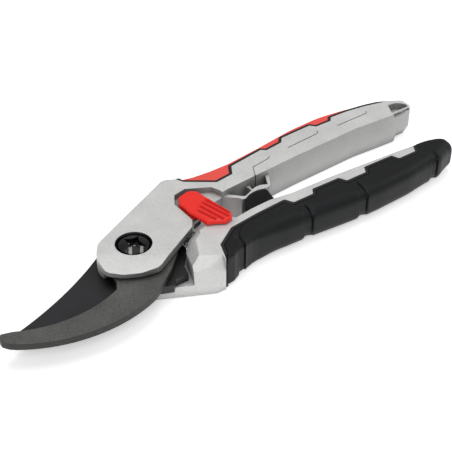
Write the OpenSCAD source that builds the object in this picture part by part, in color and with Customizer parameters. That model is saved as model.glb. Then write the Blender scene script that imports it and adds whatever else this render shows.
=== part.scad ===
// Bypass pruning shears, closed and lying flat.
// Origin: on the pivot axis, at the underside. +X runs from the blades to the handle ends,
// +Y towards the upper handle, +Z up through the pivot.

/* [Stack at the pivot] */
// Thickness of the head plate of the upper half
head_plate_t = 4; // [3.6:0.1:4.2]
// Thickness of the hook blade
hook_t = 3; // [2.8:0.1:3.2]
// Thickness of the cutting blade
blade_t = 3.4; // [3.0:0.1:3.5]
// Sliding gap between hook and cutting blade
blade_gap = 0.1; // [0.05:0.05:0.2]
// Thickness of the lower half's pivot plate
base_plate_t = 4.5; // [4.4:0.1:4.8]

/* [Pivot] */
// Diameter of the bolt head's counterbore
head_bore_d = 14.6; // [14.4:0.1:15]
// Diameter of the bolt head
bolt_head_d = 14; // [13:0.1:14]
// Diameter of the bolt's shank
bolt_d = 8; // [6:0.5:8]
// Outer diameter of the bush
bush_d = 10; // [9.5:0.1:10.5]
// Radial clearance of a running fit
run_fit = 0.05; // [0.03:0.01:0.1]
// Radius around the pivot that the upper half keeps free below its head plate
swing_r = 18.2; // [18:0.1:18.6]

/* [Grips] */
// Width of the hard border round each grip panel
border_w = 1.3; // [1:0.1:1.5]
// Rounding of the lower grip's long edges
lower_round = 5; // [4:0.5:5.5]
// Rounding of the upper panel's long edges
upper_round = 3; // [2:0.5:3.5]
// Thickness of the grip skin over the lower half's core
skin_t = 2.6; // [2.4:0.1:3]

/* [Thumb lock] */
// Diameter of the lock's pin
lock_pin_d = 4; // [3:0.5:4]
// Depth of the lock's pocket
lock_pocket_d = 2.6; // [2.4:0.1:2.8]

/* [Main spring] */
// Outer diameter of the spring
spring_d = 7; // [6:0.1:7]
// Wire diameter of the spring
spring_wire = 1; // [0.8:0.1:1.2]
// Working turns of the spring
spring_turns = 7; // [6:1:9]

/* [Hidden] */
$fn = 64;
eps = 0.01;

// Levels of the stack, from the underside up
base_top = base_plate_t;
blade_top = base_top + blade_t;
hook_low = blade_top + blade_gap;
hook_top = hook_low + hook_t;
tool_t = hook_top + head_plate_t;
mid_z = tool_t / 2;

// Bolt head, bush and nut
head_bore_depth = 3;
bolt_head_z = tool_t - head_bore_depth;
bolt_head_t = 3.7;
bolt_dome_r = 16.4;
nut_t = 2.2;
nut_across = 12.4;
nut_bore_d = 15.4;
nut_bore_depth = 2.8;
washer_t = 0.5;
washer_d = 13;

// Thumb lock
lock_pin_at = [33.3, 10.8];
lock_floor = tool_t - lock_pocket_d;
lock_play = 0.5;
ball_at = [38.2, 5];
ball_d = 2.4;
lug_low = 8.2;
lug_high = 12.6;
arm_low = tool_t + 0.35;

// Main spring, lying along Y between the two halves
spring_x = 24.5;
spring_z = 7.2;
spring_back = 6.2;
spring_front = -12.6;
seat_d = spring_d + 0.6;
coil_sides = 8;
coil_rings = 12;
coil_end = coil_rings * (spring_turns + 2);
coil_length = spring_back - spring_front - spring_wire * 1.02;

// Rubber stop: the curved face it rests on and its stud
boss_front = arc([55, 1.3], [60.5, 3.2], [65.9, 2.2], 8);
stud_at = [58, 5.4];

screw_d = 4;
screw_head_d = 7;
hook_screws_at = [[-8.5, -9.5], [8.5, -7]];
blade_screws_at = [[-4, -12], [11.4, -6.5]];

// ---------------------------------------------------------------- helpers

// Points of the round corner of radius c[2] at c, between the neighbours a and b
function corner(a, c, b, n = 5) =
    c[2] == 0 ? [[c[0], c[1]]] :
    let (
        u = [a[0] - c[0], a[1] - c[1]] / norm([a[0] - c[0], a[1] - c[1]]),
        v = [b[0] - c[0], b[1] - c[1]] / norm([b[0] - c[0], b[1] - c[1]]),
        half = acos(u * v) / 2,
        m = (u + v) / norm(u + v),
        centre = [c[0], c[1]] + m * c[2] / sin(half),
        from = centre - [c[0], c[1]] - u * c[2] / tan(half),
        to = centre - [c[0], c[1]] - v * c[2] / tan(half),
        a0 = atan2(-from[1], -from[0]),
        a1 = atan2(-to[1], -to[0]),
        turn = a1 - a0 > 180 ? a1 - a0 - 360 : a1 - a0 < -180 ? a1 - a0 + 360 : a1 - a0
    )
    [for (i = [0:n]) centre + c[2] * [cos(a0 + turn * i / n), sin(a0 + turn * i / n)]];

// Outline through the points [x, y, corner radius]
function rounded(p) =
    let (n = len(p))
    [for (i = [0:n - 1]) each corner(p[(i + n - 1) % n], p[i], p[(i + 1) % n])];

// Arc from p to r by way of q
function arc(p, q, r, n = 12) =
    let (
        d = 2 * (p[0] * (q[1] - r[1]) + q[0] * (r[1] - p[1]) + r[0] * (p[1] - q[1])),
        cx = ((p * p) * (q[1] - r[1]) + (q * q) * (r[1] - p[1]) + (r * r) * (p[1] - q[1])) / d,
        cy = ((p * p) * (r[0] - q[0]) + (q * q) * (p[0] - r[0]) + (r * r) * (q[0] - p[0])) / d,
        rad = norm(p - [cx, cy]),
        a0 = atan2(p[1] - cy, p[0] - cx),
        a1 = atan2(r[1] - cy, r[0] - cx),
        way = d > 0 ? 1 : -1,
        turn = way > 0 ? (a1 < a0 ? a1 - a0 + 360 : a1 - a0) : (a1 > a0 ? a1 - a0 - 360 : a1 - a0)
    )
    [for (i = [0:n]) [cx, cy] + rad * [cos(a0 + turn * i / n), sin(a0 + turn * i / n)]];

// Upright slab of the given outline between two heights
module slab(points, low, high)
    translate([0, 0, low]) linear_extrude(high - low) polygon(points);

// Round bar standing between two heights
module bar(at, d, low, high)
    translate([at[0], at[1], low]) cylinder(d = d, h = high - low);

// Cutter above a plane that falls away to the right of the level line through at
module fall(at, heading, slope)
    translate(at) rotate(heading) rotate([slope, 0, 0]) translate([-60, -60, 0]) cube([120, 120, 40]);

// Narrow groove cut down from a height along straight legs
module groove(points, width, top, depth)
    for (i = [0:len(points) - 2])
        let (
            step = points[i + 1] - points[i],
            length = norm(step)
        )
        translate([points[i][0], points[i][1], top - depth])
            rotate(atan2(step[1], step[0]))
                translate([-width / 2, -width / 2, 0])
                    cube([length + width, width, depth + 1]);

// Countersunk screw pointing up, its head flush with the height low
module countersunk(at, low, high)
    translate([at[0], at[1], low]) {
        cylinder(d1 = screw_head_d, d2 = screw_d, h = 1.6);
        cylinder(d = screw_d, h = high - low);
    }

// ---------------------------------------------------------------- outlines

head_outline = rounded([
    [27.6, 0.4, 0], [36, 2, 0], [40, 20, 0], [37.4, 26.6, 0], [32.5, 29.4, 4],
    [-11.4, 7.9, 9], [-16.3, 0.6, 9], [-17, -7.6, 4.5], [-12.4, -12.3, 5], [-6.3, -15.7, 8],
    [0.9, -17.2, 5], [24.5, -4.3, 1.5]
]);

// Where the head plate stands on the hook, set back along its free edge
head_foot = rounded([
    [27.6, 0.4, 0], [36, 2, 0], [40, 20, 0], [37.4, 26.6, 0], [32.5, 29.4, 4],
    [-11.2, 7.3, 8], [-15.4, 0.6, 8], [-16, -7.1, 3.8], [-11.9, -11.4, 4.2], [-6.1, -14.7, 7.2],
    [0.8, -16.1, 4.2], [24, -3.4, 1]
]);

// Skirt under the head's free end, beside the hook's root
head_skirt = [
    [-12.5, 4.6], [-15, 2.8], [-16.1, 0.2], [-16.5, -2.2], [-16.2, -4.2], [-14, -4.4], [-12.7, -1]
];

// Castellated outer face of the upper casting, from the head to the far end
upper_edge = [
    [37.4, 26.6, 0], [38.2, 23.6, 0], [50, 14.8, 1], [58.8, 15.9, 1], [61.9, 20.9, 1],
    [79.6, 23.6, 0.8], [81.6, 21.9, 0.8], [90.6, 23.1, 0.8], [93, 25.8, 0.8], [109.6, 26.7, 0.8],
    [111.4, 24.2, 0.8], [120, 24.2, 0.8], [121.9, 26.4, 0.8], [131, 26.2, 10], [141, 24.9, 10],
    [153.2, 22, 0]
];
upper_inner_edge = [
    [161, 17.2, 4.2], [157.8, 11.5, 3], [146, 11.5, 6], [135.4, 11.9, 20], [124.6, 12.5, 20],
    [90, 11, 60], [70, 9.6, 60], [50, 8.1, 20], [40, 6.2, 6], [27, 1.6, 0]
];
upper_core = rounded(concat([[18, 0.8, 0], [12, 8, 0], [16, 19, 0]], upper_edge, upper_inner_edge));

// Outside of the upper handle with its inlay
upper_outside = rounded([
    [36, 14, 0], [37.4, 26.9, 0], [44, 25, 12], [52, 24.4, 20], [62, 24.5, 30], [80, 26.8, 40],
    [100, 30, 60], [117, 31, 60], [132, 29.2, 40], [146, 25.6, 20], [153.2, 22, 0], [150, 12, 0]
]);

// Castellated top edge of the lower handle's silver rim
lower_edge = [
    [23.2, -28.6, 0], [26.6, -20.1, 1], [36.3, -13.8, 2], [50, -12.2, 10], [65, -11.2, 0.8],
    [66.9, -15, 0.8], [77, -15, 0.8], [78.9, -12.2, 0.8], [93, -12.4, 0.8], [94.6, -15.9, 0.8],
    [105, -15.9, 0.8], [107, -12.6, 0.8], [122.6, -12.9, 0.8], [123.8, -16.4, 0.8],
    [133.2, -16.4, 0.8], [135.4, -12.8, 0]
];
lower_rim = rounded(concat(
    [[25, -8.2, 0]], lower_edge,
    [[123.8, -11.8, 30], [109, -11, 60], [90, -9.8, 40], [70.8, -9.5, 10], [60, -8.1, 10],
     [50, -8.6, 10], [40, -10, 8], [30, -7.2, 4]]
));
lower_outside = rounded([
    [22, -28.2, 0], [28.5, -27.2, 6], [35, -24.9, 8], [44, -23.4, 20], [56, -23.9, 30], [66, -24.6, 30],
    [84, -26.3, 40], [104, -27.5, 60], [125, -26.4, 40], [143, -24.4, 24], [154.2, -19.9, 3.5],
    [152.2, -13.6, 5],
    [135.6, -12.9, 0], [123.8, -12.3, 30], [109, -11.5, 60], [90, -10.3, 40], [65, -10.5, 0],
    [22, -10.5, 0]
]);

// Core of the lower half under the grip skin
lower_core = rounded([
    [22, -10, 0], [22, -25, 0], [35, -22.4, 6], [44, -21, 12], [66, -22, 12], [104, -24.6, 40],
    [125, -23.6, 20], [138, -20.6, 2.5], [140, -15.4, 1.5], [123.8, -13, 10], [66, -10, 0]
]);

neck_outline = rounded([
    [30.4, -6, 3], [25.6, -5.4, 3], [19.5, -8.7, 5], [15.9, -12.4, 5], [14.2, -17, 6],
    [11.3, -25.2, 0], [18, -28.6, 2], [23.2, -28.6, 0], [26.6, -20.1, 0], [36.3, -13.8, 0],
    [40, -13, 0], [40, -10, 0]
]);

// ---------------------------------------------------------------- upper half

module upper_border_2d() {
    difference() {
        intersection() {
            offset(delta = border_w) polygon(upper_core);
            polygon(upper_outside);
            translate([36.6, 13.5]) square([120, 30]);
        }
        polygon(upper_core);
        polygon(head_outline);
    }
}

module upper_casting() color([0.80, 0.81, 0.81]) difference() {
    union() {
        difference() {
            union() {
                slab(head_outline, hook_top + 0.8, tool_t);
                slab(head_foot, hook_top, hook_top + 1);
                slab(head_skirt, hook_low + 0.2, hook_top + 1);
            }
            head_crown();
        }
        difference() {
            slab(upper_core, 0, tool_t);
            bar([0, 0], 2 * swing_r, -1, hook_top);
            slab([[-20, -30], [15, -30], [33, 0.5], [27, 1.3], [19, 0.2], [-20, 3]], -1, tool_t + 1);
        }
        stop_boss();
    }
    bar([0, 0], bush_d, 0, tool_t);
    bar([0, 0], head_bore_d, bolt_head_z, tool_t + 1);
    for (at = hook_screws_at)
        bar(at, screw_d, hook_top - 1, hook_top + 1.5);
    lock_pocket();
    bar(lock_pin_at, lock_pin_d, 3, tool_t);
    bar(ball_at, ball_d + 0.2, lock_floor - 5, tool_t);
    for (x = [30.9, 33.1])
        translate([x, 0, 7.7]) rotate([-90, 0, 0]) cylinder(d = 2.6, h = 7.6);
    translate([30.9, 0, 6.4]) cube([2.2, 7.6, 2.6]);
    spring_seat(0, spring_back);
    lanyard_cut();
    end_facets();
    groove([[68.9, 15], [78.4, 16.4], [79.3, 17.3]], 0.45, tool_t, 0.35);
    groove([[90.4, 18.1], [108, 19.5], [109.4, 20.8]], 0.45, tool_t, 0.35);
    groove([[120, 19.3], [137.3, 19.7], [138.4, 20.8]], 0.45, tool_t, 0.35);
    groove([[68.9, 15], [65, 8]], 0.45, tool_t, 0.35);
    groove([[66.2, 10.2], [65.6, 8.2]], 0.45, tool_t, tool_t - 4);
}

// Cutter that lets the head's top fall away towards its free end
module head_crown() {
    crown_r = 60;
    flat_to = 4;
    rise = 0.06;
    rotate(232)
        translate([flat_to, -40, tool_t - crown_r + rise])
            difference() {
                cube([30, 80, crown_r + 1]);
                rotate([-90, 0, 0]) cylinder(r = crown_r, h = 80, $fn = 128);
            }
}

module lock_pocket() {
    pocket = [
        [26.9, -4], [27, 12], [30.4, 17.4], [36.3, 18.6], [46, 13.3], [47.6, 9.2], [47.6, -4]
    ];
    slab(pocket, lock_floor, tool_t + 1);
    bar(lock_pin_at, 8, lock_floor - 0.6, tool_t);
}

// Hollow boss on the inner face that backs the rubber stop
module stop_boss() {
    outer = concat(
        [[46.4, 9], [52.6, 3.2], [53.1, 2.4], [53.3, 1.5]],
        boss_front,
        [[68.6, 2.8], [69.4, 3.5], [73.4, 9.6], [73.4, 11.5], [46.4, 11]]
    );
    inner = [
        [49, 9.6], [54.3, 3.8], [55.6, 2.7], [57.5, 3.3], [59.4, 4.1], [61.5, 5], [63.5, 5.5],
        [65.4, 5.5], [66.8, 4.9], [68.4, 4], [71.8, 10.4]
    ];
    difference() {
        slab(outer, 2.5, tool_t - 2.5);
        slab(inner, 4, tool_t);
        bar(stud_at, 4.2, 5, 10);
        translate([stud_at[0], 0, mid_z]) rotate([90, 0, 0]) cylinder(d = 3, h = 12, center = true);
    }
    translate([60.9, 4.6, 4 - eps]) cube([0.8, 4, tool_t - 7.2]);
    translate([60.5, 7.9, 4 - eps]) cube([1.8, 0.7, tool_t - 7.2]);
}

// Cutters for the sloping edges of the handle's end
module end_facets() {
    fall([158.6, 0, tool_t], 90, 58);
    fall([157.9, 13.2, tool_t], 45, 64);
    translate([0, 0, tool_t]) mirror([0, 0, 1]) {
        fall([158.4, 0, tool_t], 90, 58);
        fall([156.8, 14.4, tool_t], 45, 66);
        intersection() {
            fall([150, 14.3, tool_t], 0, 62.7);
            translate([148.4, 0, tool_t]) rotate([0, -19, 0]) translate([0, 0, -30]) cube([20, 30, 40]);
        }
    }
}

module lanyard_cut() {
    recess = [[147, 13], [157, 13], [157.6, 14.8], [156.6, 16.7], [154.4, 18.6], [150.3, 19.2]];
    slot = [[147.4, 12.9], [152.8, 12.9], [154.3, 13.8], [154.3, 14.2], [147.4, 14.2]];
    slab(recess, tool_t - 3.2, tool_t + 1);
    slab([[147.6, 13], [156, 13], [154.6, 15.4], [149, 15.4]], tool_t - 8, tool_t);
    translate([0, 14, 0]) rotate([90, 0, 0]) linear_extrude(6) polygon(slot);
    translate([147, 9, 13.9]) cube([9.4, 3.2, 2]);
}

module spring_seat(from_y, to_y) {
    low = min(from_y, to_y);
    translate([spring_x, low, spring_z])
        rotate([-90, 0, 0]) cylinder(d = seat_d, h = abs(to_y - from_y));
}

module hook_blade() color([0.34, 0.34, 0.33]) {
    inner_edge = arc([-58.8, -13.4], [-37, -19.3], [-17.2, -15.3], 16);
    outer_edge = arc([-6.6, -26], [-32, -30.1], [-60.8, -20], 20);
    outline = concat(
        inner_edge,
        [[-15.2, -12], [-13.6, -6]],
        [for (a = [178:-12:70]) 11.9 * [cos(a), sin(a)]],
        [[9, 11], [14, 7], [16.2, -2], [14, -9.6], [6.2, -17], [0, -21.6], [-3.2, -23.8]],
        outer_edge,
        [[-63.1, -17.9], [-64.4, -15.8], [-64.3, -13.6], [-63, -12.1]]
    );
    difference() {
        slab(outline, hook_low, hook_top);
        bar([0, 0], bush_d, 0, tool_t);
        for (at = hook_screws_at)
            countersunk(at, hook_low, hook_top + 1);
    }
}

module hook_screws() color("dimgray")
    for (at = hook_screws_at)
        countersunk(at, hook_low, hook_top + 1.3);

module upper_grip_frame() color([0.12, 0.12, 0.13])
    linear_extrude(tool_t) upper_border_2d();

module upper_grip_panel() color([0.86, 0.16, 0.13])
    rounded_slab(upper_round) {
        polygon(upper_outside);
        union() {
            offset(delta = border_w) polygon(upper_core);
            polygon(head_outline);
        }
    }

// First child's outline, with both long edges rounded, less the second child's
module rounded_slab(r, steps = 5) {
    z = [for (i = [0:steps]) r * (1 - cos(90 * i / steps))];
    inset = [for (i = [0:steps - 1]) r * (1 - sin(90 * (i + 0.5) / steps))];
    difference() {
        union() {
            for (i = [0:steps - 1]) {
                translate([0, 0, z[i]])
                    linear_extrude(tool_t - 2 * z[i]) offset(delta = -inset[i]) children(0);
            }
        }
        translate([0, 0, -1]) linear_extrude(tool_t + 2) children(1);
    }
}

module stop_bumper() color([0.1, 0.1, 0.1]) {
    pad = concat(
        arc([49.2, -7.6], [51.2, -2.9], [54.6, 1], 8),
        [for (p = boss_front) p - [0, 0.06]],
        [[66.2, 1.2], [64.2, -7.6]]
    );
    slab(pad, 3, tool_t - 2.2);
    translate([stud_at[0], stud_at[1], mid_z]) {
        rotate([90, 0, 0]) cylinder(d = 2.9, h = 4.5);
        cylinder(d = 4.1, h = 4.6, center = true);
    }
}

// Domed bolt with a cross recess
module pivot_bolt() color([0.13, 0.13, 0.14]) difference() {
    union() {
        intersection() {
            bar([0, 0], bolt_head_d, bolt_head_z, bolt_head_z + bolt_head_t + 1);
            translate([0, 0, bolt_head_z + bolt_head_t - bolt_dome_r]) sphere(r = bolt_dome_r);
        }
        bar([0, 0], bolt_d, 0.2, bolt_head_z + 1);
    }
    for (a = [28, 118])
        translate([0, 0, bolt_head_z + bolt_head_t - 1.6])
            rotate(a) translate([-4.2, -1, 0]) cube([8.4, 2, 3]);
}

module pivot_bush() color("silver") difference() {
    bar([0, 0], bush_d, nut_bore_depth, bolt_head_z);
    bar([0, 0], bolt_d, 0, tool_t);
}

module pivot_nut() color([0.25, 0.25, 0.26]) difference() {
    translate([0, 0, 0.1]) cylinder(d = nut_across / cos(30), h = nut_t - 0.1, $fn = 6);
    bar([0, 0], bolt_d, -1, tool_t);
}

module pivot_washer() color("gray") difference() {
    bar([0, 0], washer_d, nut_t, nut_t + washer_t);
    bar([0, 0], bolt_d, -1, tool_t);
}

// ---------------------------------------------------------------- thumb lock

module lock_pin() color("silver")
    bar(lock_pin_at, lock_pin_d, 3, tool_t - 1.2);

module lock_washer() color("gray") difference() {
    bar(lock_pin_at, 7.4, lock_floor - 0.6, lock_floor - 0.1);
    bar(lock_pin_at, lock_pin_d, 0, tool_t);
}

module lock_ball() color("silver")
    translate([ball_at[0], ball_at[1], lock_floor - ball_d / 2 - 0.1]) sphere(d = ball_d, $fn = 32);

module lock_spring() color("silver") difference() {
    bar(ball_at, ball_d, lock_floor - 5, lock_floor - 2.9);
    bar(ball_at, ball_d - 0.8, 0, tool_t);
}

module lock_lever() color([0.95, 0.18, 0.15]) {
    plate = rounded([
        [27.8, 9.9, 0.8], [30.5, 14.6, 1], [35.3, 16, 1], [37.4, 15.4, 0.8], [39.2, 13.2, 1],
        [39.4, 9.1, 1], [40.4, -1.3, 2], [41, -7.5, 1], [39.3, -10.4, 0.6], [35.8, -11.1, 0.6],
        [32.2, -8.7, 0.6], [29.3, -7.6, 0.6], [28.3, -0.8, 2], [27.8, 3.2, 2], [28.2, 6.7, 2]
    ]);
    difference() {
        union() {
            intersection() {
                slab(plate, lock_floor + lock_play / 2, tool_t + 4);
                slab([[20, 1.5], [50, 1.5], [50, 20], [20, 20]], 0, tool_t + 4);
            }
            slab(plate, arm_low, tool_t + 4);
        }
        translate([34, 16, tool_t + 0.7])
            rotate([-3.6, 0, 0]) translate([-20, -40, 0]) cube([40, 50, 10]);
        bar(lock_pin_at, lock_pin_d + 2 * run_fit, 0, tool_t - 1);
        for (i = [0:3])
            translate([32 + 2.2 * i, 3.6 + 1.5 * i, tool_t + 1])
                rotate([-3.6, 0, -87]) translate([0, -0.5, 0]) cube([10.5 + 1.5 * i, 1, 4]);
    }
}

// Post under the lever's arm with a foot that turns in under the neck's skin
module lock_catch() color("silver") {
    slab([[33.6, -2.7], [37, -2.7], [37, -6.2], [33.6, -6.2]], lug_low, arm_low);
    slab([[33.6, -5], [37, -5], [37, -10.6], [31.8, -10.6], [31.8, -9.5], [33.6, -9.5]],
         lug_low, lug_high);
}

// ---------------------------------------------------------------- lower half

module lower_casting() color([0.80, 0.81, 0.81]) difference() {
    union() {
        difference() {
            union() {
                bar([0.7, -0.9], 33.2, 0, base_top);
                slab([[-7.6, -15.4], [18, -28.1], [22, -28.1], [24, -8], [14, 6]], 0, base_top);
                difference() {
                    slab(neck_outline, 0, tool_t);
                    neck_facets();
                }
            }
            fall([-2.2, -18, 0], -26.4, 80.7);
        }
        slab(lower_rim, 0, tool_t);
        slab(lower_core, skin_t, tool_t - skin_t);
    }
    bar([0, 0], bush_d + 2 * run_fit, -1, tool_t);
    bar([0, 0], nut_bore_d, -1, nut_bore_depth);
    for (at = blade_screws_at)
        bar(at, screw_d, 1, base_top + 1);
    spring_seat(-5, spring_front);
    catch_notch();
}

// Facets round the neck's top: two behind the pivot and two on the outer shoulder
module neck_facets() {
    fall([28.2, -7.3, tool_t], 212.6, 36);
    fall([20.7, -12.1, tool_t], 242.9, 47);
    fall([16.2, -20.6, tool_t], -36.1, 47);
    fall([23.2, -25.7, tool_t], -15, 64.3);
}

// Slot for the lock's catch, undercut to the left
module catch_notch() {
    slab([[31.4, -5], [41.5, -5], [41.5, -9.4], [40.2, -11.1], [29.4, -11.1], [29.4, -9],
          [31.4, -9]], lug_low - 0.4, lug_high + 0.4);
}

module cutting_blade() color([0.19, 0.19, 0.21]) {
    spine = arc([-12.2, 8.4], [-36.4, -4.7], [-57.5, -12.1], 16);
    belly = arc([-61.2, -14.9], [-34, -23.6], [-12, -19.4], 16);
    outline = concat(
        spine, belly,
        [[-6.5, -17], [-1.1, -21.1], [3.2, -22.9], [5.8, -20.2], [11.5, -20.3], [12.8, -15.2],
         [15.2, -11.9], [18.9, -8], [19.8, -6.4], [19.2, -3], [14.9, 0]],
        [for (a = [15:15:105]) 14.9 * [cos(a), sin(a)]],
        [[-7, 11.8]]
    );
    difference() {
        slab(outline, base_top, blade_top);
        bar([0, 0], bush_d + 2 * run_fit, 0, tool_t);
        for (at = blade_screws_at)
            bar(at, screw_d, 0, blade_top - 0.8);
        blade_bevel();
    }
}

// Ground bevel along the cutting edge, as a chain of short tilted cuts
module blade_bevel() {
    edge = arc([-61.2, -14.9], [-34, -23.6], [-12, -19.4], 8);
    for (i = [0:len(edge) - 2])
        let (step = edge[i + 1] - edge[i])
        translate([edge[i][0], edge[i][1], base_top + 0.5])
            rotate(atan2(step[1], step[0]))
                rotate([125, 0, 0])
                    translate([-0.6, 0, 0]) cube([norm(step) + 1.2, 8, 8]);
}

module blade_screws() color("dimgray")
    for (at = blade_screws_at)
        bar(at, screw_d, 1.2, blade_top - 0.9);

module lower_border_2d() {
    difference() {
        intersection() {
            offset(delta = border_w) union() {
                polygon(lower_rim);
                polygon(neck_outline);
            }
            polygon(lower_outside);
            translate([24.05, -40]) square([140, 40]);
        }
        polygon(lower_rim);
        polygon(neck_outline);
    }
}

module lower_grip_frame() color([0.12, 0.12, 0.13]) difference() {
    linear_extrude(tool_t) lower_border_2d();
    slab(lower_core, skin_t, tool_t - skin_t);
    neck_facets();
}

module lower_grip_panel() color([0.16, 0.16, 0.17]) difference() {
    rounded_slab(lower_round) {
        polygon(lower_outside);
        offset(delta = border_w) union() {
            polygon(lower_rim);
            polygon(neck_outline);
        }
    }
    slab(lower_core, skin_t, tool_t - skin_t);
}

// ---------------------------------------------------------------- main spring

// Height along the spring's axis of its ring i, with a flat closing turn at each end
function coil_height(i) =
    spring_wire / 2 + coil_length * min(max((i / coil_rings - 1) / spring_turns, 0), 1)
    + spring_wire * 0.02 * i / coil_end;

// Ring i of the wire's surface
function coil_ring(i) = [
    for (k = [0:coil_sides - 1])
        let (
            a = 360 * i / coil_rings,
            b = 360 * k / coil_sides,
            r = (spring_d - spring_wire + spring_wire * cos(b)) / 2
        )
        [r * cos(a), coil_height(i) + spring_wire / 2 * sin(b), r * sin(a)]
];

module main_spring() color("silver") {
    points = [for (i = [0:coil_end]) each coil_ring(i)];
    walls = [
        for (i = [0:coil_end - 1], k = [0:coil_sides - 1])
            let (
                p = i * coil_sides + k,
                q = i * coil_sides + (k + 1) % coil_sides
            )
            [p, q, q + coil_sides, p + coil_sides]
    ];
    caps = [
        [for (k = [coil_sides - 1:-1:0]) k],
        [for (k = [0:coil_sides - 1]) coil_end * coil_sides + k]
    ];
    translate([spring_x, spring_front, spring_z]) polyhedron(points, concat(walls, caps));
}

upper_casting();
hook_blade();
hook_screws();
upper_grip_frame();
upper_grip_panel();
stop_bumper();
pivot_bolt();
pivot_bush();
pivot_nut();
pivot_washer();
lock_pin();
lock_washer();
lock_ball();
lock_spring();
lock_lever();
lock_catch();
lower_casting();
cutting_blade();
blade_screws();
lower_grip_frame();
lower_grip_panel();
main_spring();
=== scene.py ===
import math

import bpy
import numpy as np
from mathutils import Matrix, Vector
from mathutils.geometry import delaunay_2d_cdt


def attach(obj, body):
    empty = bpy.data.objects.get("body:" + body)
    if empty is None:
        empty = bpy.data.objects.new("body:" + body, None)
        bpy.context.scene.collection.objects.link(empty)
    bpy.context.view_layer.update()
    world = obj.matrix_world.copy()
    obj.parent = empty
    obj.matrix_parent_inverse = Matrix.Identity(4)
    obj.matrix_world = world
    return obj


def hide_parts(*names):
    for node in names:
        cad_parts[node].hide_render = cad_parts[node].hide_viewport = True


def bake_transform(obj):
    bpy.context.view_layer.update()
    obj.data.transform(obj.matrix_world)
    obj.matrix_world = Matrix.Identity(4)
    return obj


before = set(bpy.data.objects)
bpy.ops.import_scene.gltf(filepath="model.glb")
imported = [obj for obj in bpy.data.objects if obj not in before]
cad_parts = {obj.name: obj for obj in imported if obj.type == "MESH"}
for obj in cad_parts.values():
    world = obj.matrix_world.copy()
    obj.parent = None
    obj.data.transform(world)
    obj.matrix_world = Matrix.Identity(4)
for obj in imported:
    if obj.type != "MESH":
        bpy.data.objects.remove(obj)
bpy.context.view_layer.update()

MM = 0.001
TOP = 15.0  # the height in mm of both handles' upper faces
scene = bpy.context.scene

# ---------------------------------------------------------------- camera and light

# the photo's camera: angles in degrees, places in mm
SENSOR, FIELD_OF_VIEW = 36, 24
AZIMUTH, ELEVATION = -36, 37
EYE = Vector((-160.7, -281.6, 266.2))


def look(obj, at, to):
    obj.location = Vector(at) * MM
    obj.rotation_mode = "QUATERNION"
    obj.rotation_quaternion = (Vector(to) - Vector(at)).to_track_quat("-Z", "Y")


cam = bpy.data.objects.new("camera", bpy.data.cameras.new("camera"))
scene.collection.objects.link(cam)
scene.camera = cam
cam.data.sensor_width = SENSOR
cam.data.lens = SENSOR / 2 / math.tan(math.radians(FIELD_OF_VIEW / 2))
cam.data.clip_start, cam.data.clip_end = 0.01, 10
az, el = math.radians(AZIMUTH), math.radians(ELEVATION)
back = Vector((math.sin(az) * math.cos(el), -math.cos(az) * math.cos(el), math.sin(el)))
look(cam, EYE, EYE - back * 100)


def area(name, at, to, size, watts):
    """A round soft light of the given diameter in mm."""
    light = bpy.data.lights.new(name, "AREA")
    light.shape = "DISK"
    light.size = size * MM
    light.energy = watts
    lamp = bpy.data.objects.new(name, light)
    scene.collection.objects.link(lamp)
    look(lamp, at, to)


area("key_light", (-420, -620, 760), (40, 0, 0), 520, 3.4)
area("top_light", (120, 160, 900), (50, 0, 0), 700, 2.6)
area("side_light", (700, -200, 420), (60, 0, 0), 400, 0.8)

SKY_STRENGTH = 0.36
world = bpy.data.worlds.new("studio")
scene.world = world
world.use_nodes = True
sky = world.node_tree.nodes["Background"].inputs
sky["Color"].default_value = (1, 1, 1, 1)
sky["Strength"].default_value = SKY_STRENGTH
scene.view_settings.view_transform = "Standard"
scene.view_settings.look = "None"

# ---------------------------------------------------------------- materials

PATCH_SCALE, PATCH_SHARE = 90, 0.4  # broad patches: noise scale, and their share beside the grain
NOISE_LOW, NOISE_HIGH = 0.3, 0.7  # the range that the noise covers
ROUGH_CHANGE = 0.08
# the painted shade on upright faces and along an edge: where it falls, and how its band eases in and out
UPRIGHT, LEVEL = 0.35, 0.8  # Z of the normal on faces that count as upright and as level
EASE_IN, EASE_OUT = 10, 1  # mm over which a darkened band starts and ends


def srgb(r, g, b):
    return [((c / 255 + 0.055) / 1.055) ** 2.4 if c > 10 else c / 255 / 12.92 for c in (r, g, b)]


def map_range(t, value, start, end, low, high=1.0):
    """Maps start..end to low..high, and stays within them."""
    n = t.nodes.new("ShaderNodeMapRange")
    n.inputs["From Min"].default_value = start
    n.inputs["From Max"].default_value = end
    n.inputs["To Min"].default_value = low
    n.inputs["To Max"].default_value = high
    t.links.new(value, n.inputs["Value"])
    return n.outputs["Result"]


def multiply(t, colour, factor):
    n = t.nodes.new("ShaderNodeMix")
    n.data_type = "RGBA"
    n.blend_type = "MULTIPLY"
    n.inputs[0].default_value = 1
    t.links.new(colour, n.inputs[6])
    t.links.new(factor, n.inputs[7])
    return n.outputs[2]


def noise(t, place, scale, detail, rough):
    n = t.nodes.new("ShaderNodeTexNoise")
    n.inputs["Scale"].default_value = scale
    n.inputs["Detail"].default_value = detail
    n.inputs["Roughness"].default_value = rough
    t.links.new(place, n.inputs["Vector"])
    return n.outputs["Fac"]


def upright_shade(t, factor):
    """The factor of painted shade on upright faces, 1 on level ones."""
    facing = t.nodes.new("ShaderNodeNewGeometry")
    split = t.nodes.new("ShaderNodeSeparateXYZ")
    t.links.new(facing.outputs["Normal"], split.inputs["Vector"])
    return map_range(t, split.outputs["Z"], UPRIGHT, LEVEL, factor)


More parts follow.
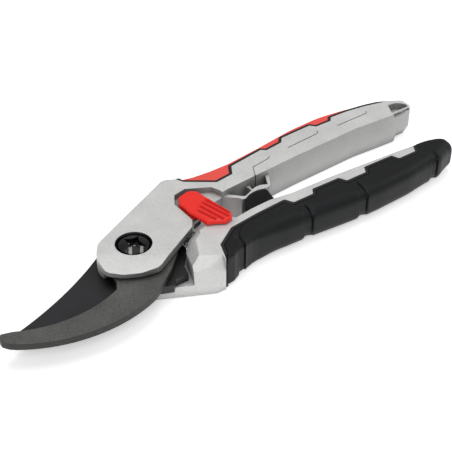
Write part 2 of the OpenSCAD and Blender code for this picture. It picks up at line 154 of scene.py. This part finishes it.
def finish_material(name, colour, rough, metal, grain, colour_change, spec=0.5, corners=0.0, reach=3.5,
                    walls=1.0):
    """Base colour with soft patches, uneven roughness, and a fine grain of (size in mm, height in mm).

    corners is how much of the colour is lost to painted shade in tight corners within reach mm, and walls
    is the share of the colour that upright faces keep under painted shade.
    """
    m = bpy.data.materials.new(name)
    m.use_nodes = True
    t = m.node_tree
    p = t.nodes["Principled BSDF"]
    p.inputs["Metallic"].default_value = metal
    p.inputs["Specular IOR Level"].default_value = spec
    place = t.nodes.new("ShaderNodeTexCoord").outputs["Object"]
    grain_size, grain_height = grain
    fine = noise(t, place, 1 / MM / grain_size, 3, 0.65)
    both = t.nodes.new("ShaderNodeMix")
    both.data_type = "FLOAT"
    both.inputs[0].default_value = PATCH_SHARE
    t.links.new(fine, both.inputs[2])
    t.links.new(noise(t, place, PATCH_SCALE, 4, 0.5), both.inputs[3])
    ramp = t.nodes.new("ShaderNodeValToRGB")
    dark, light = ramp.color_ramp.elements
    dark.position, light.position = NOISE_LOW, NOISE_HIGH
    lin = srgb(*colour)
    dark.color = [c * (1 - colour_change) for c in lin] + [1]
    light.color = [min(c * (1 + colour_change), 1) for c in lin] + [1]
    t.links.new(both.outputs[0], ramp.inputs["Fac"])
    shown = ramp.outputs["Color"]
    # painted shade: the colour darkens in tight corners
    if corners:
        shade = t.nodes.new("ShaderNodeAmbientOcclusion")
        shade.samples = 8
        shade.inputs["Distance"].default_value = reach * MM
        shown = multiply(t, shown, map_range(t, shade.outputs["AO"], 0, 1, 1 - corners))
    # painted shade: upright faces keep only part of the colour
    if walls < 1:
        shown = multiply(t, shown, upright_shade(t, walls))
    t.links.new(shown, p.inputs["Base Color"])
    smoothest, roughest = rough - ROUGH_CHANGE, rough + ROUGH_CHANGE
    uneven = map_range(t, both.outputs[0], NOISE_LOW, NOISE_HIGH, smoothest, roughest)
    t.links.new(uneven, p.inputs["Roughness"])
    if grain_height:
        bump = t.nodes.new("ShaderNodeBump")
        bump.inputs["Strength"].default_value = 1
        bump.inputs["Distance"].default_value = grain_height * MM
        t.links.new(fine, bump.inputs["Height"])
        t.links.new(bump.outputs["Normal"], p.inputs["Normal"])
    return m


def paint_edge_shade(m, start, end, factor):
    """Paints shade onto the upright faces between two places along X."""
    t = m.node_tree
    place, along = t.nodes.new("ShaderNodeTexCoord"), t.nodes.new("ShaderNodeSeparateXYZ")
    t.links.new(place.outputs["Object"], along.inputs["Vector"])
    keep = upright_shade(t, factor)
    for dark_at, plain_at in ((start + EASE_IN, start), (end - EASE_OUT, end)):
        most = t.nodes.new("ShaderNodeMath")
        most.operation = "MAXIMUM"
        t.links.new(keep, most.inputs[0])
        step = map_range(t, along.outputs["X"], dark_at * MM, plain_at * MM, factor)
        t.links.new(step, most.inputs[1])
        keep = most.outputs[0]
    base = t.nodes["Principled BSDF"].inputs["Base Color"]
    t.links.new(multiply(t, base.links[0].from_socket, keep), base)


CAST_COLOUR, CAST_GRAIN = (224, 224, 223), (0.8, 0.28)
# painted shade in the castings' corners and on their upright faces
CAST = finish_material("cast", CAST_COLOUR, 0.5, 0.4, CAST_GRAIN, 0.12, corners=0.75, walls=0.85)
# the same cast finish with more painted shade in corners and on upright faces, and a band of painted shade
# along the head's edge
CAST_HEAD_SHADED = finish_material("cast_head_shaded", CAST_COLOUR, 0.5, 0.4, CAST_GRAIN, 0.12, corners=0.85, reach=5,
                            walls=0.6)
paint_edge_shade(CAST_HEAD_SHADED, -16, 28.5, 0.42)
# painted shade: the hook's corners darker and, most of all, its upright faces
HOOK = finish_material("hook", (92, 92, 89), 0.5, 0.4, (0.6, 0.18), 0.5, corners=0.6, walls=0.3)
# painted shade: the blade darkens near the parts around it, over up to 9 mm
BLADE = finish_material("blade", (38, 38, 41), 0.34, 0.2, (0.5, 0.02), 0.08, corners=1, reach=9)
STEEL = finish_material("steel", (170, 170, 172), 0.3, 1.0, (0.4, 0.01), 0.05)
BOLT = finish_material("bolt", (11, 11, 12), 0.25, 0.2, (0.5, 0.01), 0.1)
# painted highlight: a light grey standing in for reflections on the bolt's head
GLINT_PAINT = finish_material("painted_glint", (140, 140, 137), 0.4, 0.4, (0.5, 0.02), 0.08)
BORDER = finish_material("border", (20, 21, 22), 0.36, 0, (0.5, 0.02), 0.08)
GRIP = finish_material("grip", (12, 14, 16), 0.5, 0, (0.5, 0.05), 0.12, spec=0.28)
INLAY = finish_material("inlay", (244, 84, 74), 0.6, 0, (0.35, 0.03), 0.05)
LOCK = finish_material("lock", (255, 38, 26), 0.38, 0, (0.6, 0.01), 0.04)
# painted shade: a darker red for the faces in the thumb lock's grooves
LOCK_GROOVE_SHADE = finish_material("lock_groove_shade", (196, 16, 12), 0.5, 0, (0.6, 0.01), 0.04)
STOP = finish_material("stop", (9, 9, 10), 0.3, 0, (0.4, 0.02), 0.10, spec=0.2)

# ---------------------------------------------------------------- the CAD's pieces

node_material = {
    "upper_casting": CAST_HEAD_SHADED, "lower_casting": CAST, "hook_blade": HOOK, "cutting_blade": BLADE,
    "hook_screws": STEEL, "blade_screws": STEEL, "pivot_bolt": BOLT, "pivot_nut": BOLT,
    "pivot_bush": STEEL, "pivot_washer": STEEL, "lock_pin": STEEL, "lock_washer": STEEL,
    "lock_ball": STEEL, "lock_spring": STEEL, "lock_lever": LOCK, "lock_catch": STEEL,
    "upper_grip_frame": BORDER, "lower_grip_frame": BORDER, "upper_grip_panel": INLAY,
    "lower_grip_panel": GRIP, "stop_bumper": STOP, "main_spring": STEEL,
}
bevel_width = {
    "upper_casting": 0.45, "lower_casting": 0.45, "hook_blade": 0.3, "cutting_blade": 0.15,
    "stop_bumper": 0.9, "pivot_bolt": 0.3, "upper_grip_frame": 0.22, "lower_grip_frame": 0.22,
    "pivot_nut": 0.3,
}
WELD_WITHIN = 2e-6  # metres
FLAT_WITHIN, BEVEL_ABOVE = 0.6, 28  # degrees between neighbouring faces
for name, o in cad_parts.items():
    o.data.materials.clear()
    o.data.materials.append(node_material[name])
    for face in o.data.polygons:
        face.use_smooth = True
    weld = o.modifiers.new("weld", "WELD")
    weld.merge_threshold = WELD_WITHIN
    flat = o.modifiers.new("flat", "DECIMATE")
    flat.decimate_type = "DISSOLVE"
    flat.angle_limit = math.radians(FLAT_WITHIN)
    if name in bevel_width:
        bevel = o.modifiers.new("bevel", "BEVEL")
        bevel.width = bevel_width[name] * MM
        bevel.segments = 3
        bevel.limit_method = "ANGLE"
        bevel.angle_limit = math.radians(BEVEL_ABOVE)
        bevel.harden_normals = False
        bevel.use_clamp_overlap = True
    normals = o.modifiers.new("normals", "WEIGHTED_NORMAL")
    normals.keep_sharp = True

# ---------------------------------------------------------------- outlines and solids


CORNER_STEPS = 6


def corner(a, c, b):
    """Points of the round corner of radius c[2] at c, between the neighbours a and b."""
    c2 = np.array(c[:2], float)
    if c[2] == 0:
        return [c2]
    u, v = np.array(a[:2], float) - c2, np.array(b[:2], float) - c2
    u, v = u / np.linalg.norm(u), v / np.linalg.norm(v)
    half = math.acos(np.clip(u @ v, -1, 1)) / 2
    m = (u + v) / np.linalg.norm(u + v)
    centre = c2 + m * c[2] / math.sin(half)
    p, q = c2 + u * c[2] / math.tan(half) - centre, c2 + v * c[2] / math.tan(half) - centre
    a0, a1 = math.atan2(p[1], p[0]), math.atan2(q[1], q[0])
    turn = (a1 - a0 + math.pi) % (2 * math.pi) - math.pi
    angles = [a0 + turn * i / CORNER_STEPS for i in range(CORNER_STEPS + 1)]
    return [centre + c[2] * np.array([math.cos(t), math.sin(t)]) for t in angles]


def rounded(p, closed=True):
    """A line through (x, y, corner radius) points with its corners rounded."""
    if closed:
        corners = [corner(p[i - 1], p[i], p[(i + 1) % len(p)]) for i in range(len(p))]
        return np.array([q for points in corners for q in points])
    mid = [q for i in range(1, len(p) - 1) for q in corner(p[i - 1], p[i], p[i + 1])]
    return np.array([p[0][:2], *mid, p[-1][:2]], float)


def resampled(line, step, closed=True):
    """The same line with points no more than step apart."""
    out = []
    ends = np.roll(line, -1, 0) if closed else line[1:]
    for p, q in zip(line, ends):
        n = max(1, math.ceil(np.linalg.norm(q - p) / step))
        out += [p + (q - p) * i / n for i in range(n)]
    if not closed:
        out.append(line[-1])
    out = np.array(out)
    keep = np.linalg.norm(out - np.roll(out, 1, 0), axis=1) > 1e-4
    keep[0] = True
    return out[keep]


AT_A_TIME = 64  # how many of a line's segments distance() works on at once


def distance(points, line, closed=False):
    """How far each point is from a line."""
    a = line if closed else line[:-1]
    b = np.roll(line, -1, 0) if closed else line[1:]
    d = b - a
    best = np.full(len(points), 1e9)
    for s in range(0, len(a), AT_A_TIME):
        w = points[:, None] - a[None, s:s + AT_A_TIME]
        dd = d[None, s:s + AT_A_TIME]
        t = np.clip((w * dd).sum(2) / np.maximum((dd ** 2).sum(2), 1e-12), 0, 1)
        best = np.minimum(best, np.linalg.norm(w - t[..., None] * dd, axis=2).min(1))
    return best


def inside(points, outline):
    """Which points lie inside an outline."""
    x, y = points[:, 0], points[:, 1]
    hit = np.zeros(len(points), bool)
    for p, q in zip(outline, np.roll(outline, -1, 0)):
        if p[1] != q[1]:
            hit ^= ((p[1] > y) != (q[1] > y)) & (x < (q[0] - p[0]) * (y - p[1]) / (q[1] - p[1]) + p[0])
    return hit


def smooth(x, a, b):
    """Eases from 0 at a to 1 at b."""
    t = np.clip((x - a) / (b - a), 0, 1)
    return t * t * (3 - 2 * t)


def drop(d, r):
    """How far a rounded edge of radius r has fallen at distance d inside the outline."""
    t = np.clip(1 - d / r, 0, 1)
    return r * (1 - np.sqrt(np.clip(1 - t * t, 0, 1)))


def beside(line, offsets, step):
    """Points along a line and along its parallels."""
    p = resampled(np.array(line, float), step, closed=False)
    d = np.gradient(p, axis=0)
    d /= np.linalg.norm(d, axis=1)[:, None]
    n = np.stack([-d[:, 1], d[:, 0]], 1)
    return np.concatenate([p + n * o for o in offsets])


def mesh_object(name, verts, faces, material, sharp, body=None, stands_for=()):
    """An object from vertices in mm. Edges above sharp degrees stay sharp."""
    m = bpy.data.meshes.new(name)
    m.from_pydata([tuple(float(c) * MM for c in v) for v in verts], [], faces)
    m.validate()
    m.materials.append(material)
    for f in m.polygons:
        f.use_smooth = True
    m.set_sharp_from_angle(angle=math.radians(sharp))
    o = bpy.data.objects.new(name, m)
    scene.collection.objects.link(o)
    if body:
        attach(o, body)
    if stands_for:
        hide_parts(*stands_for)
    return o


def repaint(obj, material, which):
    """Gives the faces picked by their centres (in mm) a further material."""
    centres = np.array([tuple(f.center) for f in obj.data.polygons]) / MM
    obj.data.materials.append(material)
    for face, picked in zip(obj.data.polygons, which(centres)):
        if picked:
            face.material_index = len(obj.data.materials) - 1


RING_KEPT = 0.93  # a ring point is dropped if it comes nearer to the edge than this share of its inset
STAGGER = 0.31  # mm that every other grid point is moved by
EDGE_GAP = 0.08  # mm that the extra points stay clear of the edge


def clear_of(points, others, gap):
    """The points that are further than gap from every other one."""
    return points[((points[:, None] - others[None]) ** 2).sum(2).min(1) > gap ** 2]


def pillow(outline, insets, top, low, grid=1.3, extra=None, step=0.45):
    """Vertices and faces of a solid over an outline, between the heights top(x, y) and low(x, y).

    insets gives, for the outline's points, how far inside them each ring of points lies. grid is the
    spacing of the points further in, extra holds further points, and step is the spacing along the outline.
    """
    edge = resampled(outline, step)
    if sum(p[0] * q[1] - q[0] * p[1] for p, q in zip(edge, np.roll(edge, -1, 0))) < 0:
        edge = edge[::-1]
    d = np.roll(edge, -1, 0) - np.roll(edge, 1, 0)
    d /= np.linalg.norm(d, axis=1)[:, None]
    inward = np.stack([-d[:, 1], d[:, 0]], 1)
    points = [edge]
    rings = insets(edge)
    for ring in rings:
        p = edge + inward * ring[:, None]
        far = distance(p, edge, True)
        points.append(p[(far > ring * RING_KEPT) & inside(p, edge)])
    deepest = rings[-1]
    first, last = edge.min(0), edge.max(0)
    gx, gy = np.meshgrid(np.arange(first[0], last[0], grid), np.arange(first[1], last[1], grid))
    g = np.stack([gx.ravel() + STAGGER * (np.arange(gx.size) % 2), gy.ravel()], 1)
    g = g[inside(g, edge)]
    near = np.argmin(((g[:, None] - edge[None, ::4]) ** 2).sum(2), 1) * 4
    g = g[distance(g, edge, True) > deepest[np.minimum(near, len(deepest) - 1)] + grid * 0.35]
    if extra is not None:
        e = extra[inside(extra, edge)]
        e = e[distance(e, edge, True) > EDGE_GAP]
        g = clear_of(g, e, grid * 0.4)
        points.append(e)
    points.append(g)
    n = len(edge)
    flat = [Vector(p) for p in np.concatenate(points)]
    rim = [(i, (i + 1) % n) for i in range(n)]
    found, _, triangles, sources, _, _ = delaunay_2d_cdt(flat, rim, [], 1, 1e-4, True)
    xy = np.array([tuple(v) for v in found])
    where = {k: i for i, given in enumerate(sources) for k in given}
    ring = [where[i] for i in range(n)]
    count = len(xy)
    x, y = xy[:, 0], xy[:, 1]
    verts = np.concatenate([np.column_stack([xy, top(x, y)]), np.column_stack([xy, low(x, y)])])
    sheet = np.array([tuple(f) for f in triangles])
    sheet = sheet[inside(xy[sheet].mean(1), edge)]
    faces = [tuple(map(int, f)) for f in sheet]
    faces += [tuple(int(i) + count for i in reversed(f)) for f in sheet]
    for i in range(n):
        a, b = ring[i], ring[(i + 1) % n]
        if a != b:
            faces.append((a, a + count, b + count, b))
    return verts, faces


# ---------------------------------------------------------------- lower grip

# insets of a rounded edge's rings, as shares of its radius
ARCS = [1 - math.cos(math.radians(90 * k / 8)) for k in range(1, 9)]
# where the skin meets its hard border strip: (x, y, corner radius), like every outline here
LOWER_BORDER = [
    (24.5, -29, 0), (27.75, -20.9, 1), (36.7, -15.05, 2.5), (50.1, -13.5, 10), (64.3, -12.55, .8),
    (66.2, -16.3, 1), (77.7, -16.3, 1), (79.6, -13.5, 1), (92.1, -13.7, .8), (93.7, -17.2, 1),
    (105.8, -17.2, 1), (107.7, -13.9, 1), (121.7, -14.2, .8), (122.9, -17.7, 1), (134, -17.7, 1),
    (136.6, -13.5, 0),
]
LOWER_OUT = [
    (22, -28.4, 0), (29.5, -28.9, 6), (36, -26.3, 8), (52, -24.3, 20), (66, -24.6, 30), (84, -26, 40),
    (104, -27.6, 60), (125, -27.1, 40), (143, -25, 24), (154, -20.1, 3.5), (152.6, -12.9, 6),
    (144, -12.2, 10), (135.4, -12.4, 0),
]
# how far the side lies inside that line, measured along the grip
SIDE_IN = [
    (24.5, .6), (28, 1.3), (30, 2.1), (32.8, 2), (35, 1.4), (36.7, 1.7), (39.6, 2), (42.6, 1.9),
    (45.6, 1.4), (48.6, 1), (51.4, .6), (54.3, .35), (57, .1), (60, 0), (66, -.1), (72, -.15), (85, -.35),
    (97, -.3), (101, .1), (109, .35), (121, .5), (127, .95), (134, 1), (139, .6), (142, .4), (145, .8),
    (149, .6), (152, .1),
]
SKIN_FROM, SKIN_TO = 24.5, 136.4  # the skin's first X and the last one beside its border
SEAMS = [
    [(40, -15.6), (36.4, -18.6), (35.4, -21.5), (35.2, -30)],
    [(66.4, -16.5), (69.3, -19), (69.6, -30)],
    [(97.4, -17.2), (97.3, -24), (96.8, -31)],
    [(134, -17.9), (138, -17.7), (140, -18.6), (140.7, -20.5), (140.4, -23.5), (139.8, -30)],
]
SEAM_DEPTH, SEAM_HALF = 0.3, 0.16
RING_AT = [35.25, 69.6, 96.9, 139.9]  # X of each shallow ring's far end, at its seam
RING_DEPTH, RING_IN = 0.5, 0.65  # how deep the rings are on top and on the side


def recess(x):
    """1 inside each shallow ring beside a seam, 0 elsewhere."""
    return sum(smooth(x, s - 4.4, s - 3) * (1 - smooth(x, s - 0.16, s)) for s in RING_AT)


def seam_notch(x):
    """1 where a seam meets the side, 0 elsewhere."""
    return sum(np.exp(-((x - s + 0.2) / 0.2) ** 2) for s in RING_AT)


side = rounded(LOWER_OUT, closed=False)
side = side[side[:, 0] > SKIN_FROM]
side = np.concatenate([[[SKIN_FROM, -28.6]], side])
side = resampled(side, 0.2, closed=False)
outer = side[:, 1] < -19.5
side[outer, 1] += np.interp(side[outer, 0], *zip(*SIDE_IN))
side[outer, 1] += RING_IN * recess(side[outer, 0]) + SEAM_DEPTH * seam_notch(side[outer, 0])
hard_part = rounded(LOWER_BORDER, closed=False)[::-1]
hard_part = hard_part[hard_part[:, 0] < SKIN_TO]
grip_outline = np.concatenate([side, hard_part[1:-1]])
tip = int(np.argmax(side[:, 0]))
soft_part, back_part = side[:tip + 1], side[tip:]


def lower_radius(x):
    """The rounding along the grip's outer side."""
    return 1.9 + 3.3 * smooth(x, 27, 58)


def back_radius(x):
    """The rounding around the grip's end."""
    return 0.7 + 3.4 * smooth(x, 138, 154)


def lower_insets(edge):
    soft = np.minimum(distance(edge, soft_part), distance(edge, back_part)) < 0.05
    back = distance(edge, back_part) < distance(edge, soft_part)
    r = np.where(back, back_radius(edge[:, 0]), lower_radius(edge[:, 0]))
    beside_border = [.03, .08, .15, .25, .4, .7, 1.1, 1.6]
    return [np.where(soft, r * a, h) for a, h in zip(ARCS, beside_border)]


def lower_top(x, y):
    p = np.column_stack([x, y])
    soft, hard, rear = distance(p, soft_part), distance(p, hard_part), distance(p, back_part)
    rounding = (drop(soft, lower_radius(x)) ** 3 + drop(rear, back_radius(x)) ** 3) ** (1 / 3)
    z = TOP - 0.05 - rounding - drop(hard, 0.6)
    for seam in SEAMS:
        away = distance(p, np.array(seam, float))
        z -= SEAM_DEPTH * np.exp(-(away / SEAM_HALF) ** 2)
    z -= RING_DEPTH * recess(x) * smooth(-y, 17.5, 21.5) * smooth(hard, 0.8, 2.2)
    return z


seam_points = np.concatenate([
    *[beside(seam, (-0.6, -0.3, -0.15, 0, 0.15, 0.3, 0.6), 0.35) for seam in SEAMS],
    *[beside([(s, -17), (s, -29)], (-0.1, 0.1, 0.9, 1.8, 3, 3.7, 4.4), 0.6) for s in RING_AT],
])
v, f = pillow(grip_outline, lower_insets, lower_top, lambda x, y: TOP - lower_top(x, y),
              extra=seam_points, step=0.3)
mesh_object("lower_grip_skin", v, f, GRIP, 40, "lower_handle", ["lower_grip_panel"])

# ---------------------------------------------------------------- upper inlay

UPPER_BORDER = [
    (37.3, 26.9, 0), (39.2, 24.4, 0), (50.4, 16.3, 1), (58, 17.1, 1), (61, 22.1, 1), (79.9, 24.9, .8),
    (82, 23.2, .8), (90, 24.3, .8), (92.4, 27, .8), (110, 28.1, .8), (111.9, 25.5, .8),
    (119.3, 25.5, .8), (121.2, 27.7, .8), (131.2, 27.5, 10), (137, 26.9, 0),
]
UPPER_OUT = [
    (38, 26.6, 0), (44, 25, 12), (52, 24.4, 20), (62, 24.5, 30), (80, 26.8, 40), (100, 30, 60),
    (117, 31, 60), (132, 29.2, 40), (146, 25.6, 20),
]
INLAY_END = [(137.5, 27.7), (141, 26.6)]
INLAY_RADIUS = 2.2

inlay_side = np.concatenate([rounded(UPPER_OUT, closed=False)[:-1], INLAY_END])
inlay_side = resampled(inlay_side, 0.4, closed=False)
inlay_side = inlay_side[inlay_side[:, 0] <= 141.1]
inlay_border = rounded(UPPER_BORDER, closed=False)[::-1]
inlay_outline = np.concatenate([inlay_side, inlay_border[:-1]])


def inlay_top(x, y):
    p = np.column_stack([x, y])
    soft, hard = distance(p, inlay_side), distance(p, inlay_border)
    return TOP - 0.04 - drop(soft, INLAY_RADIUS) - drop(hard, 0.35)


def inlay_insets(edge):
    soft = distance(edge, inlay_side) < 0.05
    beside_border = [.03, .08, .15, .24, .35, .6, 1, 1.5]
    return [np.where(soft, INLAY_RADIUS * a, h) for a, h in zip(ARCS, beside_border)]


v, f = pillow(inlay_outline, inlay_insets, inlay_top, lambda x, y: TOP - inlay_top(x, y))
mesh_object("upper_inlay_skin", v, f, INLAY, 40, "upper_handle", ["upper_grip_panel"])

# ---------------------------------------------------------------- thumb lock

# its top slopes up towards the thumb, with four round-ended grooves
PLATE = [
    (27.8, 9.9, .8), (30.5, 14.6, 1), (35.3, 16, 1), (37.4, 15.4, .8), (39.2, 13.2, 1), (39.4, 9.1, 1),
    (40.4, -1.3, 2), (41, -7.5, 1), (39.3, -10.4, .6), (35.8, -11.1, .6), (32.2, -8.7, .6),
    (29.3, -7.6, .6), (28.3, -.8, 2), (27.8, 3.2, 2), (28.2, 6.7, 2),
]
# the top's height, the Y where it has that height, and its slope in degrees
LOCK_TOP, LOCK_FROM, LOCK_SLOPE = 15.68, 16, 3.6
LOCK_EDGE = 0.75
# the underside of the thumb's part, of the part on the pin, and the Y between them
THUMB_LOW, HUB_LOW, SHOULDER = 15.36, 12.66, 1.5
GROOVES = [np.array(g, float) for g in (
    ((31, 1.2), (32.9, -7.9)), ((33.4, 3.4), (35.4, -9.6)), ((35.8, 4.8), (38.1, -9.3)),
    ((37.9, 5.6), (39.9, -7.2)),
)]
# the grooves' half width and depth, and how far from their lines the painted shade reaches
GROOVE_HALF, GROOVE_DEPTH, GROOVE_SHADE = 0.78, 0.75, 0.62
GROOVE_RINGS = (0.25, 0.5, 0.7, GROOVE_HALF)
plate = rounded(PLATE)


def lock_top(x, y):
    p = np.column_stack([x, y])
    rise = (LOCK_FROM - y) * math.tan(math.radians(LOCK_SLOPE))
    z = LOCK_TOP + rise - drop(distance(p, plate, True), LOCK_EDGE)
    for groove in GROOVES:
        t = np.clip(1 - (distance(p, groove) / GROOVE_HALF) ** 2, 0, 1)
        z -= GROOVE_DEPTH * t ** 0.6
    return z


def lock_low(x, y):
    return np.where(y < SHOULDER, THUMB_LOW, HUB_LOW)


# the top's faces near a groove's line, which get painted shade
def in_groove_shade(c):
    return (np.min([distance(c[:, :2], g) for g in GROOVES], 0) < GROOVE_SHADE) & (c[:, 2] > 15.5)


across = [-r for r in reversed(GROOVE_RINGS)] + [0, *GROOVE_RINGS]
turn = np.linspace(0, 2 * math.pi, 16, False)
rims = [
    end + r * np.array([math.cos(t), math.sin(t)])
    for groove in GROOVES for end in groove for r in GROOVE_RINGS for t in turn
]
lock_points = np.concatenate([
    *[beside(groove, across, 0.3) for groove in GROOVES], rims,
    beside([(20, SHOULDER), (50, SHOULDER)], (-0.02, 0.02), 0.4),
])
v, f = pillow(plate, lambda e: [np.full(len(e), LOCK_EDGE * a) for a in ARCS[::2] + [1.0]],
              lock_top, lock_low, grid=0.5, extra=lock_points, step=0.3)
lever = mesh_object("thumb_lock_shell", v, f, LOCK, 45, "thumb_lock", ["lock_lever"])
# painted shade in the grooves
repaint(lever, LOCK_GROOVE_SHADE, in_groove_shade)

# ---------------------------------------------------------------- rubber stop

PAD = [
    (49.2, -7.6, 1), (49.6, -5.4, 2), (51.2, -2.6, 3), (54.2, .95, .7), (56, 1.7, 2), (58.2, 2.5, 3),
    (60.5, 3, 3), (63.4, 2.8, 2), (65.7, 2.1, .9), (66.3, .9, 1), (64.2, -7.6, 1),
]
PAD_TOP, PAD_BOTH, PAD_RADIUS = 12.9, 15.8, 1.6  # PAD_BOTH is the sum of its top's and underside's heights
pad = rounded(PAD)


def pad_top(x, y):
    return PAD_TOP - drop(distance(np.column_stack([x, y]), pad, True), PAD_RADIUS)


v, f = pillow(pad, lambda e: [PAD_RADIUS * np.full(len(e), a) for a in ARCS], pad_top,
              lambda x, y: PAD_BOTH - pad_top(x, y), grid=0.8, step=0.3)
mesh_object("stop_pad", v, f, STOP, 60, "upper_handle", ["stop_bumper"])

# ---------------------------------------------------------------- pivot bolt

# a domed head with a star recess inside a raised lip, on its shank
BOLT_R, SHANK_R = 7.27, 4
HEAD_LOW, SHANK_LOW = 12.02, 0.25
DOME_R, DOME_SHIFT, DOME_TO = 16.4, -0.7, 6.1  # the dome's sphere, its centre's height and its edge
STEP_DOWN, LIP, RECESS_DEPTH = 1.3, 0.9, 1.5
RECESS = [(34, 4.4), (112, 4.6), (210, 3.1), (306, 5)]  # each arm's direction in degrees and its length
RECESS_HUB, RECESS_RIM = 1.5, 1.7
# painted highlights (glints) on the near side of the head and along the recess: two ends and half the width
GLINTS = [
    ((-2.6, -1.8), (-4.3, -4.6), 0.62), ((1.2, -4), (-0.4, -6.4), 0.58),
    ((-0.9, -1.95), (0.1, -2.05), 0.28), ((0.1, -2.05), (0.8, -2.6), 0.24),
    ((-1.45, 1.75), (-1.95, 0.2), 0.24),
]
# the part of the head's near side that is painted matte black as shade
SHADED_FRONT_LOBE = np.array([
    (-2.2, -2.2), (-3.9, -4.9), (-0.9, -6.7), (0.75, -4.1), (0.7, -2.9), (0, -2.3), (-0.9, -2.2),
])


def arm_half(along, length):
    """Half the width of a recess arm at a distance from the middle."""
    return 0.3 + 3 * np.clip(1 - along / length, 0, 1) ** 2


def star(x, y):
    """1 inside the recess, falling to 0 across its edge."""
    depth = 1 - smooth(np.hypot(x, y), RECESS_HUB, RECESS_RIM)
    for direction, length in RECESS:
        c, s = math.cos(math.radians(direction)), math.sin(math.radians(direction))
        along, off = x * c + y * s, abs(-x * s + y * c)
        half = np.where((along > 0) & (along < length), arm_half(along, length), 0)
        half = np.minimum(half, np.maximum(along, 0) + 0.1)
        depth = np.maximum(depth, 1 - smooth(off, half - 0.12, half + 0.05))
    return depth


def bolt_top(x, y):
    r = np.hypot(x, y)
    dome = DOME_SHIFT + np.sqrt(DOME_R ** 2 - np.minimum(r, DOME_TO) ** 2)
    return dome - STEP_DOWN * smooth(r, 6, 6.5) + LIP * smooth(r, 6.75, 7) - RECESS_DEPTH * star(x, y)


def bolt_low(x, y):
    return np.where(np.hypot(x, y) < SHANK_R, SHANK_LOW, HEAD_LOW)


def circle(r, n):
    return [(r * math.cos(t), r * math.sin(t)) for t in np.linspace(0, 2 * math.pi, n, False)]


# the faces painted matte black as shade: the recess, the ring round the head and its near lobe
def painted_shade_on_bolt(c):
    x, y = c[:, 0], c[:, 1]
    return (star(x, y) > 0.3) | (np.hypot(x, y) > DOME_TO) | inside(c[:, :2], SHADED_FRONT_LOBE)


# the faces of the head that get a painted highlight
def in_painted_glint(c):
    away = [distance(c[:, :2], np.array([p, q])) / half for p, q, half in GLINTS]
    return (c[:, 2] > 13.6) & (np.min(away, 0) < 1)


bolt_points = circle(RECESS_HUB, 40) + circle(RECESS_RIM, 40)
for direction, length in RECESS:
    c, s = math.cos(math.radians(direction)), math.sin(math.radians(direction))
    for k in np.arange(1.2, length + 0.2, 0.1):
        half = min(arm_half(k, length), k + 0.1)
        for off in (half - 0.13, half - 0.04, half + 0.06):
            bolt_points += [(k * c - w * s, k * s + w * c) for w in (off, -off)]
for p, q, half in GLINTS:
    rows = (-half - 0.03, -half + 0.03, half - 0.03, half + 0.03)
    bolt_points += [tuple(w) for w in beside([p, q], rows, 0.15)]
for r in (5.8, 5.95, 6.05, 6.15, 6.25, 6.35, 6.45, 6.55, 6.72, 6.8, 6.87, 6.94, 7.02):
    bolt_points += circle(r, 160)
v, f = pillow(np.array(circle(BOLT_R, 160)), lambda e: [np.full(len(e), a) for a in (.03, .1, .2)],
              bolt_top, bolt_low, grid=0.3, extra=np.array(bolt_points), step=0.4)
bolt = mesh_object("bolt_head", v, f, BOLT, 40, "upper_handle", ["pivot_bolt"])
# painted shade: matte black on the recess, the ring round the head and its near lobe
repaint(bolt, STOP, painted_shade_on_bolt)
# painted highlights on the bolt's head
repaint(bolt, GLINT_PAINT, in_painted_glint)

# ---------------------------------------------------------------- compression spring

TURNS, PER_TURN, SIDES = 9, 28, 10
WIRE, RADIUS = 0.5, 3.0  # the wire's own radius, and the coil's radius to the wire's centre
FRONT, LENGTH = -12.6, 18.8
AXIS_X, AXIS_Z = 24.5, 7.2
verts, faces = [], []
steps = TURNS * PER_TURN
for i in range(steps + 1):
    t = i / PER_TURN
    # the first and last turns lie flat, the others climb
    climbed = min(max((t - 1) / (TURNS - 2), 0), 1)
    y = FRONT + WIRE + 0.02 * t + (LENGTH - 2 * WIRE - 0.2) * climbed
    a = 2 * math.pi * t
    for k in range(SIDES):
        b = 2 * math.pi * k / SIDES
        r = RADIUS + WIRE * math.cos(b)
        verts.append((AXIS_X + r * math.cos(a), y + WIRE * math.sin(b), AXIS_Z + r * math.sin(a)))
for i in range(steps):
    for k in range(SIDES):
        p, q = i * SIDES + k, i * SIDES + (k + 1) % SIDES
        faces.append((p, q, q + SIDES, p + SIDES))
faces.append(tuple(range(SIDES - 1, -1, -1)))
faces.append(tuple(steps * SIDES + k for k in range(SIDES)))
coil = mesh_object("main_spring_coil", verts, faces, STEEL, 60)
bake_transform(coil)
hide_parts("main_spring")

# ---------------------------------------------------------------- floor

FLOOR_HALF, FLOOR_Z = 3, -0.0003  # metres
FLOOR_GLOW = 0.42
floor_mesh = bpy.data.meshes.new("floor")
corners = [(FLOOR_HALF * x, FLOOR_HALF * y, FLOOR_Z) for x, y in ((-1, -1), (1, -1), (1, 1), (-1, 1))]
floor_mesh.from_pydata(corners, [], [(0, 1, 2, 3)])
floor = bpy.data.objects.new("floor", floor_mesh)
scene.collection.objects.link(floor)
PAPER = finish_material("paper", (252, 252, 252), 0.9, 0, (1, 0), 0.005)
paper = PAPER.node_tree.nodes["Principled BSDF"].inputs
paper["Emission Color"].default_value = (1, 1, 1, 1)
paper["Emission Strength"].default_value = FLOOR_GLOW
floor_mesh.materials.append(PAPER)
